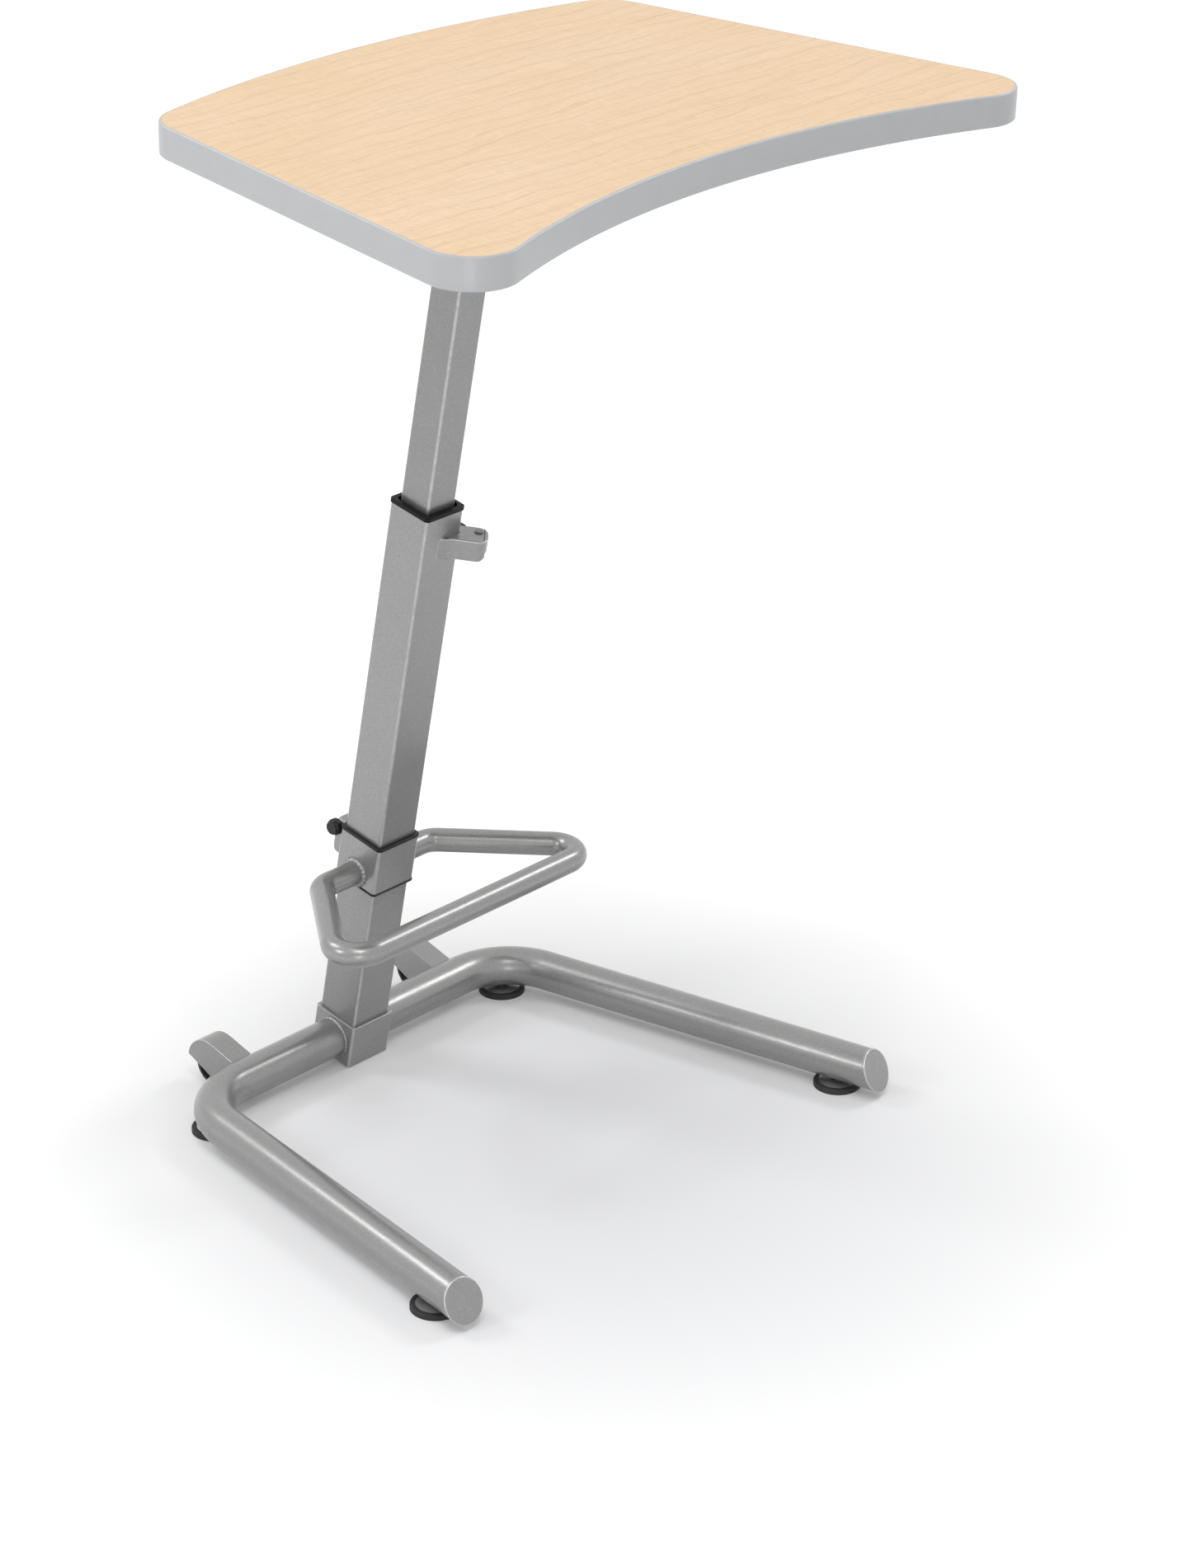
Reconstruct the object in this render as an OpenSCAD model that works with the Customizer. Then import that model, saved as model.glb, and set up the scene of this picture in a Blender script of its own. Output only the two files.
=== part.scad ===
// Height-adjustable stand-up desk on one leaning column, with a sliding foot rest
// and a tilt-to-roll base. Millimetres, +Z up, the user stands on the -Y side.
// The origin is on the floor, under the middle of the whole desk.

/* [Column] */
// Lean of the column toward the user, in degrees
column_lean = 11.3; // [7:0.1:14]
// Width of the square outer tube
outer_w = 50.8; // [48:0.1:56]
// Wall of the outer tube
outer_wall = 2; // [1.5:0.1:2.5]
// Corner radius of the outer tube
outer_r = 3; // [2.6:0.1:6]
// End of the outer tube, measured along the column from the floor
outer_end = 662; // [600:1:720]
// Width of the square inner tube
inner_w = 38.1; // [34:0.1:40]
// Wall of the inner tube
inner_wall = 2; // [1.5:0.1:2.5]
// Corner radius of the inner tube
inner_r = 2.8; // [2.6:0.1:5]
// Length of the inner tube that stays inside the outer one
inner_overlap = 118; // [105:1:200]
// Thickness of the lip on the upper bushing
lip_t = 4.5; // [3:0.1:7]
// How far the lip stands proud of the outer tube
lip_proud = 1.2; // [0.6:0.1:2.5]
// Depth of the recess round the inner tube in the top of the bushing
recess_depth = 5.5; // [3:0.1:7]
// Width of that recess
recess_w = 3; // [2:0.1:3.2]
// Depth of the upper bushing inside the outer tube
skirt_len = 52; // [46:1:60]
// Length of the lower bushing round the inner tube
shoe_sleeve_len = 46; // [30:1:52]
// Thickness of the plug under the inner tube
sleeve_floor = 4; // [3:0.1:6]

/* [Top] */
// Height of the work surface at the middle of the top
top_height = 1081; // [1040:1:1120]
// Distance of the middle of the top ahead of the foot of the column
top_forward = 300; // [280:1:320]
// Fall of the work surface toward the user, in degrees
top_tilt = 1.75; // [0:0.05:4]
// Thickness of the whole top
top_thick = 30.5; // [26:0.1:36]
// Thickness of the laminate sheet
laminate_t = 0.9; // [0.6:0.1:1.5]
// Thickness of the backing sheet
backing_t = 0.7; // [0.5:0.1:1.5]
// Thickness of the edge band
band_t = 2.6; // [2:0.1:4]
// Radius of the two long edges of the band
band_edge_r = 1.8; // [0.8:0.1:1.9]
// Half width of the laminate across the middle of the top
side_half = 334.7; // [300:0.1:360]
// Slant of the sides, wider toward the user, in degrees
side_slant = 9.7; // [6:0.1:12]
// Reach of the rear edge behind the middle of the top
rear_reach = 246.7; // [225:0.1:270]
// Radius of the bowed rear edge
rear_bow_r = 1133; // [900:1:1500]
// Reach of the front edge ahead of the middle, at its hollow
front_reach = 198; // [180:0.1:230]
// Radius of the hollow front edge
front_bow_r = 910; // [800:1:1300]
// Corner radius of the laminate at the front
front_corner_r = 41; // [30:0.5:55]
// Corner radius of the laminate at the rear
rear_corner_r = 43; // [25:0.5:60]

/* [Top plate] */
// Thickness of the plate under the top
plate_t = 4; // [3:0.1:6]
// Width of the plate
plate_w = 180; // [150:1:220]
// Length of the plate ahead of the column
plate_ahead = 150; // [120:1:180]
// Length of the plate behind the column
plate_behind = 62; // [50:1:80]
// Corner radius of the plate
plate_r = 14; // [8:0.5:20]
// Inset of the screws from the edges of the plate
screw_inset = 18; // [14:0.5:22]
// Diameter of the screw shank
screw_d = 4.4; // [3.5:0.1:5]
// Depth of the screws in the board
screw_bite = 18; // [12:0.5:22]

/* [Base] */
// Outer diameter of the base tubes
base_d = 42; // [38:0.1:44]
// Wall of the base tubes
base_wall = 2; // [1.5:0.1:3]
// Height of the axis of the base tubes
base_height = 29.2; // [28.5:0.1:34]
// Half distance between the two corners of the base
base_half = 224; // [210:1:240]
// Splay of the legs, in degrees
leg_splay = 9.85; // [5:0.05:15]
// Reach of the legs ahead of the crossbar
leg_reach = 463; // [430:1:500]
// Radius of the bends, at the axis of the tube
base_bend_r = 73; // [65:1:76]
// Thickness of the end caps
cap_t = 3; // [2:0.1:5]
// How far the caps stand proud of the tube
cap_proud = 0.5; // [0.2:0.1:1]
// Slant of the leg ends, which lean back at the top, in degrees
leg_cut = 22; // [0:0.5:30]
// Wall of the square socket
socket_wall = 3; // [2.5:0.1:4]
// Socket below the axis of the crossbar, measured along the column
socket_below = 23.3; // [18:0.1:23.5]
// Socket above the axis of the crossbar, measured along the column
socket_above = 26.5; // [23:0.1:40]
// Diameter of the two bolts that hold the column
column_bolt_d = 8; // [6:0.1:10]
// Distance between the two bolts
column_bolt_pitch = 22; // [18:0.5:26]

/* [Glides] */
// Diameter of a glide
glide_d = 50; // [44:0.5:56]
// Height of the soft ring of a glide
glide_ring_h = 5.4; // [4.5:0.1:6]
// Width of the soft ring, seen from above
glide_ring_w = 5.5; // [4:0.1:8]
// Rise of the steel disc above the soft ring
glide_dome_h = 1.5; // [1:0.1:2]
// Diameter of the threaded stem
glide_stem_d = 10; // [8:0.1:12]
// Length of the stem above the disc
glide_stem_len = 26; // [22:0.5:30]
// Distance of the front glides from the ends of the legs
front_glide_back = 46; // [34:0.5:60]

/* [Wheels] */
// Distance of each wheel from the middle of the base
wheel_x = 145.7; // [135:0.1:148]
// Diameter of the wheels
wheel_d = 43.5; // [40:0.1:46]
// Width of the wheels
wheel_w = 19; // [15:0.1:20.5]
// Diameter of the wheel axles
axle_d = 6; // [5:0.1:8]
// Distance of the axles behind the crossbar
axle_back = 50; // [48:0.1:54]
// Height of the axles above the floor
axle_height = 26; // [25:0.1:29]
// Outside width of the hoods
hood_w = 27; // [26:0.1:31]
// Wall of the hoods
hood_wall = 2.4; // [2:0.1:2.8]
// Radius of the round end of the hoods
hood_r = 28; // [27:0.1:31]
// Slope of the upper face of the hoods, in degrees
hood_slope = 16.5; // [12:0.5:20]
// Slope of the lower edge of the hoods, in degrees
hood_cut_slope = 24; // [20:0.5:28]

/* [Foot rest] */
// Height of the foot rest tube as shown
foot_height = 235.4; // [200:0.1:270]
// Outer diameter of the foot rest tube
foot_d = 25; // [22:0.1:26]
// Wall of the foot rest tube
foot_wall = 2; // [1.5:0.1:3]
// Reach of the front bar ahead of the column
foot_reach = 141.5; // [125:0.5:160]
// Half distance between the two corners of the front bar
foot_half = 190; // [175:0.5:205]
// Flare of the arms, in degrees
foot_flare = 38.6; // [34:0.1:42]
// Radius of the bends at the front bar, at the axis of the tube
foot_front_bend_r = 25; // [20:0.5:32]
// Radius of the bends near the collar, at the axis of the tube
foot_rear_bend_r = 22; // [18:0.5:30]
// Wall of the collar
collar_wall = 1.6; // [1.4:0.1:2.2]
// Collar below the axis of the foot rest tube
collar_below = 13; // [13:0.5:20]
// Collar above the axis of the foot rest tube
collar_above = 39; // [38:0.5:46]
// Thickness of the liners in the collar
liner_t = 1.25; // [0.9:0.05:1.6]
// Length of each liner
liner_len = 12; // [8:0.5:13]
// Thickness of the upper lip of the collar
collar_lip_top = 3.6; // [2.5:0.1:5]
// Thickness of the lower lip of the collar
collar_lip_low = 2.4; // [1.5:0.1:4]

/* [Height latch] */
// Distance of the latch below the end of the outer tube
latch_drop = 25; // [18:0.5:30]
// Height of the latch housing
ear_h = 22.5; // [20:0.1:26]
// Width of the latch housing
ear_w = 30.4; // [28:0.1:34]
// Reach of the latch housing from the axis of the column
ear_reach = 63.5; // [61:0.1:68]
// Direction of the latch housing, turned from the side of the column, in degrees
ear_turn = 47; // [44:0.5:50]
// Corner radius of the latch housing
ear_r = 10; // [7:0.5:12]
// Radius under the end of the latch housing
ear_under_r = 8; // [5:0.5:10]
// Upper and lower walls of the latch housing
ear_plate = 3.2; // [2.6:0.1:4]
// Spread of the flared root of the housing on the front of the outer tube
ear_flare = 9; // [6:0.5:12]
// Side wall of the latch housing
ear_side = 4.6; // [3:0.1:6]
// Diameter of the latch pivot pin
latch_pin_d = 6; // [5:0.1:7]
// Distance of the latch pivot beyond the side of the outer tube
latch_pin_out = 15; // [14:0.1:16]
// Distance of the latch pivot ahead of the axis of the column
latch_pin_ahead = 36; // [35:0.1:38]
// Radius of the lever round its pivot
lever_eye_r = 6; // [5:0.1:6.4]
// Thickness of the lever handle
lever_t = 8; // [6:0.1:10]
// Length of the lever handle behind the axis of the column
lever_tail = 37; // [30:0.5:50]
// Diameter of the brake shoe of the height latch
shoe_d = 12; // [9:0.1:14]

/* [Foot latch] */
// Depth of the foot latch housing behind the collar
pad_depth = 14; // [13:0.1:17]
// Half width of the foot latch housing
pad_half = 21; // [20:0.1:24]
// Height of the foot latch housing
pad_h = 48; // [44:0.1:50]
// Radius of the lower corners of the foot latch housing
pad_low_r = 16; // [10:0.5:20]
// Radius of the upper corners of the foot latch housing
pad_top_r = 7; // [4:0.5:7.5]
// Diameter of the foot latch pivot pin
foot_pin_d = 4; // [3:0.1:5]
// Distance of the foot latch lever behind the collar
foot_lever_out = 10.2; // [10:0.1:10.6]
// Height of the foot latch lever above the foot rest tube
foot_lever_up = 33; // [31:0.1:34]
// Size of the foot latch lever along the column
foot_lever_h = 8.4; // [7:0.1:10]
// Thickness of the foot latch lever
foot_lever_t = 6.4; // [5:0.1:7]
// Diameter of the knob
knob_d = 17.6; // [14:0.1:17.8]
// Length of the knob
knob_len = 10; // [9:0.1:16]
// Diameter of the brake shoe of the foot latch
foot_shoe_d = 8; // [6:0.1:8.2]

/* [Clearances] */
// Gap between faces that slide on each other
slide_gap = 0.3; // [0.2:0.05:0.5]
// Gap between pieces that are fixed in each other
fit_gap = 0.05; // [0.02:0.01:0.1]
// Radial gap round pins and axles
pin_gap = 0.1; // [0.05:0.01:0.15]
// Gap between the column and its socket
socket_gap = 0.2; // [0.1:0.05:0.4]

/* [Hidden] */
$fn = 96;
// Smoothness of the long bowed edges, the corners and the band of the top
bow_steps = 24;
corner_steps = 16;
band_steps = 4;
// A length larger than the desk, for cutting planes
far = 2000;
// Thin rings at the ends of a bend, which join its runs into one solid
joint_len = 0.6;
joint_grow = 0.06;
// Small overrun of a cut past a face
over = 1;

grey_paint = [0.60, 0.60, 0.60];
black_plastic = [0.10, 0.10, 0.11];
steel = [0.75, 0.75, 0.77];
band_grey = [0.73, 0.75, 0.77];
maple = [0.93, 0.83, 0.69];

// Column places, measured along the column from the floor
base_s = base_height / cos(column_lean);
socket_low = base_s - socket_below;
socket_top = base_s + socket_above;
column_foot = socket_low + 3;
socket_w = outer_w + 2 * (socket_gap + socket_wall);
socket_r = outer_r + 0.4;
foot_s = foot_height / cos(column_lean);
inner_foot = outer_end - inner_overlap;
outer_bore = outer_w - 2 * outer_wall;
bore_r = outer_r - outer_wall;

// Where the column meets the plate, in the frame of the top
top_angle = column_lean - top_tilt;
stack_t = top_thick + plate_t;
plate_s = (top_height * cos(top_tilt) + top_forward * sin(top_tilt) - stack_t) / cos(top_angle);
plate_y = top_forward * cos(top_tilt) - top_height * sin(top_tilt) - plate_s * sin(top_angle);

// Base places
base_y = -base_height * tan(column_lean);
base_turn = 90 - leg_splay;
leg_tip = [base_half + leg_reach * tan(leg_splay), base_y - leg_reach];
leg_dir = [sin(leg_splay), -cos(leg_splay)];
base_bend_mid = [
    base_half - base_bend_r * tan(base_turn / 2),
    base_y - base_bend_r
];
rear_glide = base_bend_mid + base_bend_r * [sin(base_turn / 2), cos(base_turn / 2)];
front_glide = leg_tip - front_glide_back * leg_dir;
tube_low = base_height - base_d / 2;
insert_d = glide_stem_d + 6;
insert_top = tube_low + base_wall + 11;

// Foot rest places
foot_y = -foot_height * tan(column_lean);
foot_corner_x = foot_half - foot_reach * tan(foot_flare);
collar_bore = outer_w + 2 * (slide_gap + liner_t + fit_gap);
collar_w = collar_bore + 2 * collar_wall;
collar_r = outer_r + collar_wall + liner_t;
collar_edge_r = outer_r + 1;
collar_low = foot_s - collar_below;
collar_top = foot_s + collar_above;
pad_face = collar_w / 2;
pad_low = collar_low + 6;
lever_s = foot_s + foot_lever_up;
lever_y = pad_face + foot_lever_out;
foot_eye_r = foot_lever_t / 2 + 1;
knob_grip = 6;
foot_pin_x = pad_half - foot_eye_r - 2.6;

// Height latch places
latch_top = outer_end - latch_drop;
latch_low = latch_top - ear_h;
latch_mid = (latch_top + latch_low) / 2;
latch_pin = [outer_w / 2 + latch_pin_out, -latch_pin_ahead];
lever_in = outer_w / 2 + 6;
slot_h = ear_h - 2 * ear_plate;

// Outline of the top, in the frame of the top: centres of the bows and corners
rear_bow = [0, rear_reach - rear_bow_r];
front_bow = [0, -front_reach - front_bow_r];
side_n = [cos(side_slant), sin(side_slant)];
side_t = [-sin(side_slant), cos(side_slant)];

function corner_centre(r, bow, reach) =
    let (
        p = side_half * cos(side_slant) - r,
        a = p - bow.y * sin(side_slant),
        q = bow.y * cos(side_slant) + sqrt(reach * reach - a * a)
    )
    p * side_n + q * side_t;

rear_corner = corner_centre(rear_corner_r, rear_bow, rear_bow_r - rear_corner_r);
front_corner = corner_centre(front_corner_r, front_bow, front_bow_r + front_corner_r);

function unit(v) = v / norm(v);
function flip(p) = [-p.x, p.y];
function angle_of(v) = atan2(v.y, v.x);

rear_touch = rear_bow + rear_bow_r * unit(rear_corner - rear_bow);
front_touch = front_bow + front_bow_r * unit(front_corner - front_bow);

// Ends of the desk, which set the place of the column
axle_at = [base_y + axle_back, axle_height];
hood_mid = axle_at + [1, 2.8];
hood_tip = hood_mid + hood_r * [cos(8), sin(8)];
front_end = (front_corner.y - front_corner_r - band_t) * cos(top_tilt) - top_forward;
foot_of_column = -(hood_tip.x + front_end) / 2;

// Frames

// Places below are measured from the foot of the column, where its axis meets the floor
module at_foot() {
    translate([0, foot_of_column, 0]) children();
}

module on_column() {
    at_foot() rotate([column_lean, 0, 0]) children();
}

module on_top() {
    at_foot() translate([0, -top_forward, top_height]) rotate([top_tilt, 0, 0]) children();
}

module on_base() {
    translate([0, 0, base_height]) children();
}

// Left pieces are mirror images of the right ones
module on_side(side) {
    at_foot() mirror([side < 0 ? 1 : 0, 0, 0]) children();
}

// Shared shapes

module rounded_square(w, r) {
    square([w - 2 * r, w], center = true);
    square([w, w - 2 * r], center = true);
    for (x = [-1, 1], y = [-1, 1]) {
        translate([x * (w / 2 - r), y * (w / 2 - r)]) circle(r);
    }
}

module rounded_box_outline(size, r) {
    translate([r, 0]) square([size.x - 2 * r, size.y]);
    translate([0, r]) square([size.x, size.y - 2 * r]);
    for (x = [r, size.x - r], y = [r, size.y - r]) {
        translate([x, y]) circle(r);
    }
}

module square_sleeve(w, r, bore, bore_r, low, top) {
    translate([0, 0, low]) linear_extrude(top - low) difference() {
        rounded_square(w, r);
        rounded_square(bore, bore_r);
    }
}

// A round bar that follows corner points in a level plane, with a bend radius at each inner corner
module bent_bar(points, radii, d, end_over) {
    last = len(points) - 1;
    dirs = [for (i = [0 : last - 1]) unit(points[i + 1] - points[i])];
    turns = [for (i = [1 : last - 1]) turn_between(dirs[i - 1], dirs[i])];
    trims = [
        for (i = [0 : last])
        i == 0 || i == last ? -end_over : radii[i - 1] * tan(abs(turns[i - 1]) / 2)
    ];
    for (i = [0 : last - 1]) {
        run = norm(points[i + 1] - points[i]) - trims[i] - trims[i + 1];
        round_run(points[i] + trims[i] * dirs[i], dirs[i], run, d);
    }
    for (i = [1 : last - 1]) {
        turn = turns[i - 1];
        left = turn > 0 ? 1 : -1;
        entry = points[i] - trims[i] * dirs[i - 1];
        leave = points[i] + trims[i] * dirs[i];
        centre = entry + left * radii[i - 1] * [-dirs[i - 1].y, dirs[i - 1].x];
        from = angle_of(entry - centre) + (turn > 0 ? 0 : turn);
        translate(centre) rotate([0, 0, from]) rotate_extrude(angle = abs(turn))
            translate([radii[i - 1], 0]) circle(d = d);
        round_run(entry - joint_len / 2 * dirs[i - 1], dirs[i - 1], joint_len, d + 2 * joint_grow);
        round_run(leave - joint_len / 2 * dirs[i], dirs[i], joint_len, d + 2 * joint_grow);
    }
}

module round_run(start, dir, run, d) {
    translate(start) rotate([0, 0, angle_of(dir)]) rotate([0, 90, 0]) cylinder(h = run, d = d);
}

function turn_between(u, v) = atan2(u.x * v.y - u.y * v.x, u.x * v.x + u.y * v.y);

module bent_tube(points, radii, d, wall) {
    difference() {
        bent_bar(points, radii, d, 0);
        bent_bar(points, radii, d - 2 * wall, over);
    }
}

// Base

module base_socket() {
    color(grey_paint) on_column() difference() {
        square_sleeve(socket_w, socket_r, outer_w + 2 * socket_gap, outer_r + socket_gap, socket_low, socket_top);
        column_bolt_places() translate([0, 0, -over]) cylinder(h = far, d = column_bolt_d + 2 * fit_gap);
    }
}

// Two bolts through the rear wall of the socket; the child's axis points to the rear
module column_bolt_places() {
    for (k = [-0.5, 0.5]) {
        translate([0, outer_w / 2, base_s + k * column_bolt_pitch]) rotate([-90, 0, 0]) children();
    }
}

module column_bolts() {
    head_h = column_bolt_d * 0.55;
    grip = socket_gap + socket_wall;
    color(steel) on_column() column_bolt_places() {
        translate([0, 0, -outer_wall - 6]) cylinder(h = outer_wall + 6 + grip, d = column_bolt_d);
        translate([0, 0, grip]) rotate_extrude() {
            square([column_bolt_d * 0.7, head_h]);
            square([column_bolt_d * 0.9, head_h * 0.6]);
        }
    }
}

// Slab across the end of a leg, between two depths behind the slanted face
module leg_end_slab(from, to) {
    on_base() translate(leg_tip) rotate([0, 0, angle_of(leg_dir)]) rotate([0, -leg_cut, 0])
        translate([-to, -base_d, -2 * base_d]) cube([to - from, 2 * base_d, 4 * base_d]);
}

module base_leg(side) {
    path = [[socket_w / 2, base_y], [base_half, base_y], leg_tip + base_d * leg_dir];
    color(grey_paint) on_side(side) difference() {
        on_base() bent_tube(path, [base_bend_r], base_d, base_wall);
        leg_end_slab(-4 * base_d, cap_t);
        for (p = [rear_glide, front_glide]) {
            translate(p) cylinder(h = base_height, d = insert_d + 2 * fit_gap);
        }
    }
}

module base_leg_left() {
    base_leg(-1);
}

module base_leg_right() {
    base_leg(1);
}

module leg_cap(side) {
    color(grey_paint) on_side(side) intersection() {
        on_base() round_run(leg_tip - base_d * leg_dir, leg_dir, 2 * base_d, base_d + 2 * cap_proud);
        leg_end_slab(0, cap_t);
    }
}

module leg_cap_left() {
    leg_cap(-1);
}

module leg_cap_right() {
    leg_cap(1);
}

// Tilt-to-roll wheels behind the crossbar

// Side outline of a hood in the y-z plane, drawn in by a wall
module hood_outline(inset) {
    r = hood_r - inset;
    top_touch = hood_mid + r * [-sin(hood_slope), cos(hood_slope)];
    run = [cos(hood_slope), sin(hood_slope)];
    cut_run = [cos(hood_cut_slope), sin(hood_cut_slope)];
    difference() {
        union() {
            translate(hood_mid) circle(r);
            polygon([hood_mid + [0, -r], top_touch, top_touch - 60 * run, [base_y, 0]]);
        }
        if (inset == 0) {
            polygon([hood_tip + 20 * cut_run, hood_tip - far * cut_run, hood_tip + [0, -far]]);
        }
    }
}

module wheel_hood(side) {
    color(grey_paint) on_side(side) translate([wheel_x, 0, 0]) difference() {
        rotate([90, 0, 90]) translate([0, 0, -hood_w / 2]) linear_extrude(hood_w) hood_outline(0);
        rotate([90, 0, 90]) translate([0, 0, hood_wall - hood_w / 2])
            linear_extrude(hood_w - 2 * hood_wall) hood_outline(hood_wall);
        translate([0, base_y, base_height]) rotate([0, 90, 0])
            cylinder(h = 2 * hood_w, d = base_d + 2 * fit_gap, center = true);
        translate([-far, base_y - far, -over]) cube([2 * far, far, far]);
        translate([-far, base_y - far, base_height - far]) cube([2 * far, far + base_d * 0.3, far]);
        axle_place() cylinder(h = axle_len() + 2 * fit_gap, d = axle_d + 2 * fit_gap, center = true);
    }
}

function axle_len() = hood_w - hood_wall;

module axle_place() {
    translate([0, axle_at.x, axle_at.y]) rotate([0, 90, 0]) children();
}

module wheel_hood_left() {
    wheel_hood(-1);
}

module wheel_hood_right() {
    wheel_hood(1);
}

module wheel_axle(side) {
    color(steel) on_side(side) translate([wheel_x, 0, 0]) axle_place()
        cylinder(h = axle_len(), d = axle_d, center = true);
}

module wheel_axle_left() {
    wheel_axle(-1);
}

module wheel_axle_right() {
    wheel_axle(1);
}

module wheel(side) {
    shoulder = 3;
    tread_r = wheel_d / 2;
    bore_r = axle_d / 2 + pin_gap;
    hub_r = axle_d / 2 + 4;
    dish = 2.5;
    color(black_plastic) on_side(side) translate([wheel_x, 0, 0]) axle_place() rotate_extrude() difference() {
        union() {
            translate([bore_r, -wheel_w / 2]) square([tread_r - shoulder - bore_r, wheel_w]);
            translate([bore_r, shoulder - wheel_w / 2]) square([tread_r - bore_r, wheel_w - 2 * shoulder]);
            for (z = [-1, 1]) {
                translate([tread_r - shoulder, z * (wheel_w / 2 - shoulder)]) circle(shoulder);
            }
        }
        for (z = [-wheel_w / 2, wheel_w / 2 - dish]) {
            translate([hub_r, z]) square([tread_r - 5 - hub_r, dish]);
        }
    }
}

module wheel_left() {
    wheel(-1);
}

module wheel_right() {
    wheel(1);
}

// Levelling glides

module glide_inserts() {
    color(steel) for (side = [-1, 1], p = [rear_glide, front_glide]) {
        on_side(side) translate([p.x, p.y, tube_low]) difference() {
            cylinder(h = insert_top - tube_low, d = insert_d);
            translate([0, 0, -over]) cylinder(h = far, d = glide_stem_d + 2 * pin_gap);
        }
    }
}

module glide_ring(side, p) {
    r = glide_d / 2;
    soft = 1.6;
    seat_r = r - glide_ring_w;
    color(black_plastic) on_side(side) translate(p) rotate_extrude() difference() {
        union() {
            square([r - soft, glide_ring_h]);
            square([r, glide_ring_h - soft]);
            translate([r - soft, glide_ring_h - soft]) circle(soft);
        }
        translate([-over, glide_ring_h / 2]) square([seat_r + fit_gap + over, far]);
    }
}

module glide_stem(side, p) {
    seat_r = glide_d / 2 - glide_ring_w;
    rise = glide_ring_h / 2 + glide_dome_h;
    dome_r = (seat_r * seat_r + glide_dome_h * glide_dome_h) / (2 * glide_dome_h);
    color(steel) on_side(side) translate([p.x, p.y, glide_ring_h / 2]) {
        intersection() {
            cylinder(h = rise, r = seat_r);
            translate([0, 0, rise - dome_r]) sphere(r = dome_r, $fn = 4 * $fn);
        }
        cylinder(h = rise + glide_stem_len, d = glide_stem_d);
    }
}

module glide_ring_rear_left() {
    glide_ring(-1, rear_glide);
}

module glide_ring_rear_right() {
    glide_ring(1, rear_glide);
}

module glide_ring_front_left() {
    glide_ring(-1, front_glide);
}

module glide_ring_front_right() {
    glide_ring(1, front_glide);
}

module glide_stem_rear_left() {
    glide_stem(-1, rear_glide);
}

module glide_stem_rear_right() {
    glide_stem(1, rear_glide);
}

module glide_stem_front_left() {
    glide_stem(-1, front_glide);
}

module glide_stem_front_right() {
    glide_stem(1, front_glide);
}

// Column

module outer_column() {
    color(grey_paint) on_column() difference() {
        square_sleeve(outer_w, outer_r, outer_bore, bore_r, column_foot, outer_end);
        column_bolt_places() cylinder(h = 4 * outer_wall, d = column_bolt_d + 2 * fit_gap, center = true);
        height_shoe_place() cylinder(h = far, d = shoe_d + 2 * pin_gap);
    }
}

module upper_bushing() {
    skirt_w = outer_bore - 2 * fit_gap;
    lip_w = outer_w + 2 * lip_proud;
    bore = inner_w + 2 * slide_gap;
    color(black_plastic) on_column() difference() {
        union() {
            square_sleeve(skirt_w, bore_r, bore, inner_r + slide_gap, outer_end - skirt_len, outer_end + over);
            square_sleeve(lip_w, outer_r + lip_proud, bore, inner_r + slide_gap, outer_end, outer_end + lip_t);
        }
        translate([0, 0, outer_end + lip_t - recess_depth]) linear_extrude(far)
            rounded_square(inner_w + 2 * recess_w, inner_r + recess_w);
        height_shoe_place() cylinder(h = far, d = shoe_d + 2 * pin_gap);
    }
}

module inner_column() {
    color(grey_paint) difference() {
        on_column() square_sleeve(inner_w, inner_r, inner_w - 2 * inner_wall, inner_r - inner_wall,
            inner_foot, plate_s + inner_w);
        on_top() translate([-far, -far, -stack_t]) cube(2 * far);
    }
}

module lower_bushing() {
    w = outer_bore - 2 * slide_gap;
    color(black_plastic) on_column() difference() {
        translate([0, 0, inner_foot - sleeve_floor]) linear_extrude(shoe_sleeve_len) rounded_square(w, bore_r);
        translate([0, 0, inner_foot]) linear_extrude(far) rounded_square(inner_w + 2 * fit_gap, inner_r);
    }
}

// Top

// Points on an arc, up to but not including its end
function arc(centre, r, from, to, steps) = [
    for (i = [0 : steps - 1]) let (a = from + (to - from) * i / steps) centre + r * [cos(a), sin(a)]
];

rear_out = angle_of(rear_touch - rear_bow);
front_out = angle_of(front_bow - front_touch);
front_start = angle_of(front_touch - front_bow);

// Right half of the outline, from the middle of the front to the middle of the rear, grown by a distance
function half_outline(grow) = concat(
    arc(front_bow, front_bow_r - grow, 90, front_start, bow_steps),
    arc(front_corner, front_corner_r + grow, front_out, side_slant, corner_steps),
    [front_corner + (front_corner_r + grow) * side_n],
    arc(rear_corner, rear_corner_r + grow, side_slant, rear_out, corner_steps),
    arc(rear_bow, rear_bow_r + grow, rear_out, 90, bow_steps),
    [rear_bow + [0, rear_bow_r + grow]]
);

function outline(grow) = let (half = half_outline(grow), last = len(half) - 1) concat(
    half,
    [for (i = [last - 1 : -1 : 1]) flip(half[i])]
);

module top_outline() {
    polygon(outline(-fit_gap));
}

// Section of the band: x runs outward from the board, y runs up
band_round = [
    for (i = [0 : band_steps]) let (a = 90 * i / band_steps) band_edge_r * [sin(a) - 1, cos(a) - 1]
];
band_section = concat(
    [[0, -top_thick], [0, 0]],
    [for (p = band_round) [band_t + p.x, p.y]],
    [for (i = [band_steps : -1 : 0]) [band_t + band_round[i].x, -top_thick - band_round[i].y]]
);

// The section swept round the outline
module edge_band() {
    rings = len(band_section);
    turns = len(outline(0));
    points = [for (q = band_section, p = outline(q.x)) [p.x, p.y, q.y]];
    faces = [
        for (k = [0 : rings - 1], i = [0 : turns - 1])
        let (a = k * turns, b = (k + 1) % rings * turns, j = (i + 1) % turns)
        [a + i, b + i, b + j, a + j]
    ];
    color(band_grey) on_top() polyhedron(points, faces);
}

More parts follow.
